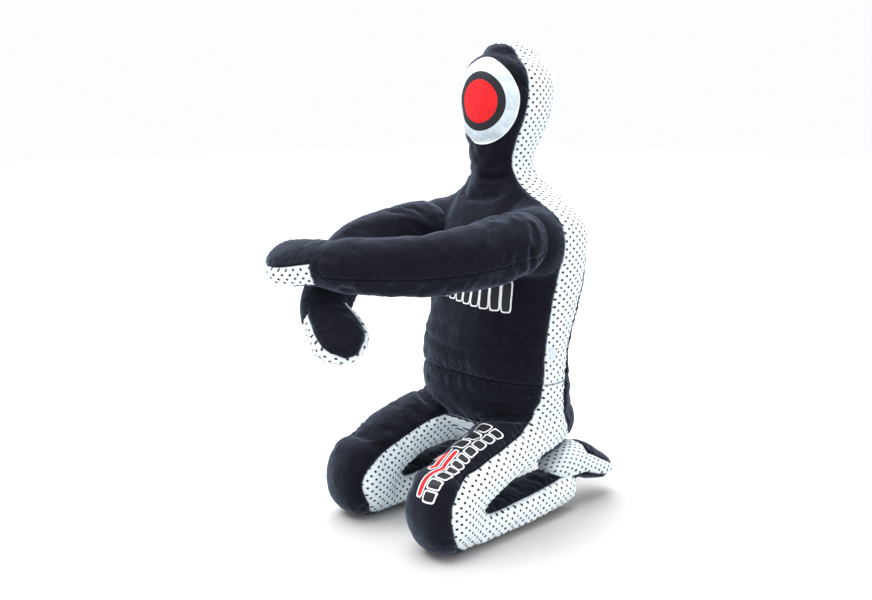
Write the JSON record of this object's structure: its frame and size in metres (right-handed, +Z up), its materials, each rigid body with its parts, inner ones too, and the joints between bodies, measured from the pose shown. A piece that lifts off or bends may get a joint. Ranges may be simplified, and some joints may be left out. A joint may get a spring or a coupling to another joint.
{
  "type": "grappling dummy",
  "caption": "Stuffed fabric training dummy that kneels on its heels with both arms reaching forward, with soft joints at the neck, waist and limbs.",
  "frame": {"origin": "centre of the bottom of the kneeling dummy's box, on the floor", "axes": "+Z up, the dummy faces -Y, +X is its left"},
  "size_m": [0.4817, 0.7752, 1.1],
  "materials": {
    "dark_canvas": "dark navy woven canvas",
    "dotted_fabric": "white mesh fabric with small dark dots",
    "stuffing": "compressed textile filling",
    "target_print": "printed fabric patch",
    "white_print": "soft screen print",
    "zip_tape": "woven tape",
    "zip_teeth": "moulded black plastic",
    "zip_metal": "nickel-plated zinc"
  },
  "bodies": {
    "pelvis": {"pelvis_stuffing": "stuffing", "belly_panel": "dark_canvas", "seat_panel": "dark_canvas", "hip_gussets": "dotted_fabric"},
    "torso": {"torso_stuffing": "stuffing", "chest_panel": "dark_canvas", "torso_gussets": "dotted_fabric", "torso_back_panel": "dark_canvas", "zip_tapes": "zip_tape", "zip_teeth": "zip_teeth", "chest_print": "white_print", "side_label": "white_print"},
    "head": {"head_stuffing": "stuffing", "face_panel": "dark_canvas", "head_gusset": "dotted_fabric", "head_back_panel": "dark_canvas", "target_patch": "target_print"},
    "zip_slider": {"zip_slider": "zip_metal"},
    "zip_pull": {"zip_pull": "zip_metal"},
    "left_upper_arm": {"left_upper_arm_stuffing": "stuffing", "left_upper_sleeve": "dark_canvas"},
    "left_forearm": {"left_forearm_stuffing": "stuffing", "left_forearm_sleeve": "dark_canvas"},
    "left_hand": {"left_hand_stuffing": "stuffing", "left_hand_gusset": "dotted_fabric", "left_palm_panel": "dark_canvas", "left_hand_back_panel": "dark_canvas"},
    "right_upper_arm": {"right_upper_arm_stuffing": "stuffing", "right_upper_sleeve": "dark_canvas"},
    "right_forearm": {"right_forearm_stuffing": "stuffing", "right_forearm_sleeve": "dark_canvas"},
    "right_hand": {"right_hand_stuffing": "stuffing", "right_hand_gusset": "dotted_fabric", "right_palm_panel": "dark_canvas", "right_hand_back_panel": "dark_canvas"},
    "left_thigh": {"left_thigh_stuffing": "stuffing", "left_thigh_front_panel": "dark_canvas", "left_thigh_back_panel": "dark_canvas", "left_thigh_gussets": "dotted_fabric"},
    "left_shin": {"left_shin_stuffing": "stuffing", "left_shin_front_panel": "dark_canvas", "left_calf_panel": "dark_canvas", "left_shin_gussets": "dotted_fabric"},
    "left_foot": {"left_foot_stuffing": "stuffing", "left_sole_panel": "dark_canvas", "left_instep_panel": "dark_canvas", "left_foot_gussets": "dotted_fabric"},
    "right_thigh": {"right_thigh_stuffing": "stuffing", "right_thigh_front_panel": "dark_canvas", "right_thigh_back_panel": "dark_canvas", "right_thigh_gussets": "dotted_fabric"},
    "right_shin": {"right_shin_stuffing": "stuffing", "right_shin_front_panel": "dark_canvas", "right_calf_panel": "dark_canvas", "right_shin_gussets": "dotted_fabric"},
    "right_foot": {"right_foot_stuffing": "stuffing", "right_sole_panel": "dark_canvas", "right_instep_panel": "dark_canvas", "right_foot_gussets": "dotted_fabric"}
  },
  "joints": [
    {"name": "waist_bend", "type": "hinge", "parent": "pelvis", "child": "torso", "pos_m": [0, 0.14922, 0.346], "axis": [1, 0, 0], "range_deg": [-8, 8]},
    {"name": "neck_nod", "type": "hinge", "parent": "torso", "child": "head", "pos_m": [0, 0.18322, 0.818], "axis": [1, 0, 0], "range_deg": [-20, 15]},
    {"name": "zip_slide", "type": "slide", "parent": "torso", "child": "zip_slider", "axis": [0, 0, 1], "range_m": [-0.17, 0]},
    {"name": "zip_pull_swing", "type": "hinge", "parent": "zip_slider", "child": "zip_pull", "pos_m": [0, 0.32112, 0.64], "axis": [1, 0, 0], "range_deg": [0, 60]},
    {"name": "left_shoulder_raise", "type": "hinge", "parent": "torso", "child": "left_upper_arm", "pos_m": [0.16, 0.10322, 0.655], "axis": [-1, 0, 0], "range_deg": [0, 35]},
    {"name": "left_elbow_bend", "type": "hinge", "parent": "left_upper_arm", "child": "left_forearm", "pos_m": [0.095, -0.10422, 0.63864], "axis": [-0.0209, 0.0851, -0.9962], "range_deg": [-24, 0]},
    {"name": "left_wrist_bend", "type": "hinge", "parent": "left_forearm", "child": "left_hand", "pos_m": [-0.07048, -0.2912, 0.62614], "axis": [0.3948, -0.8036, -0.4454], "range_deg": [-20, 0]},
    {"name": "right_shoulder_raise", "type": "hinge", "parent": "torso", "child": "right_upper_arm", "pos_m": [-0.16, 0.10322, 0.655], "axis": [-1, 0, 0], "range_deg": [-20, 0]},
    {"name": "right_elbow_bend", "type": "hinge", "parent": "right_upper_arm", "child": "right_forearm", "pos_m": [-0.17636, -0.11169, 0.62227], "axis": [0.6327, -0.1634, 0.7569], "range_deg": [0, 30]},
    {"name": "right_wrist_bend", "type": "hinge", "parent": "right_forearm", "child": "right_hand", "pos_m": [-0.07628, -0.3036, 0.49717], "axis": [0.2019, 0.9517, 0.2311], "range_deg": [0, 20]},
    {"name": "left_hip_lift", "type": "hinge", "parent": "pelvis", "child": "left_thigh", "pos_m": [0.137, 0.18522, 0.205], "axis": [-1, 0, 0], "range_deg": [0, 8]},
    {"name": "left_knee_open", "type": "hinge", "parent": "left_thigh", "child": "left_shin", "pos_m": [0.137, -0.13478, 0.095], "axis": [-1, 0, 0], "range_deg": [0, 22]},
    {"name": "left_ankle_bend", "type": "hinge", "parent": "left_shin", "child": "left_foot", "pos_m": [0.15665, 0.21667, 0.044], "axis": [-0.9984, 0.0558, 0], "range_deg": [-12, 12]},
    {"name": "right_hip_lift", "type": "hinge", "parent": "pelvis", "child": "right_thigh", "pos_m": [-0.137, 0.18522, 0.205], "axis": [-1, 0, 0], "range_deg": [0, 8]},
    {"name": "right_knee_open", "type": "hinge", "parent": "right_thigh", "child": "right_shin", "pos_m": [-0.137, -0.13478, 0.095], "axis": [-1, 0, 0], "range_deg": [0, 22]},
    {"name": "right_ankle_bend", "type": "hinge", "parent": "right_shin", "child": "right_foot", "pos_m": [-0.15665, 0.21667, 0.044], "axis": [-0.9984, -0.0558, 0], "range_deg": [-12, 12]}
  ]
}
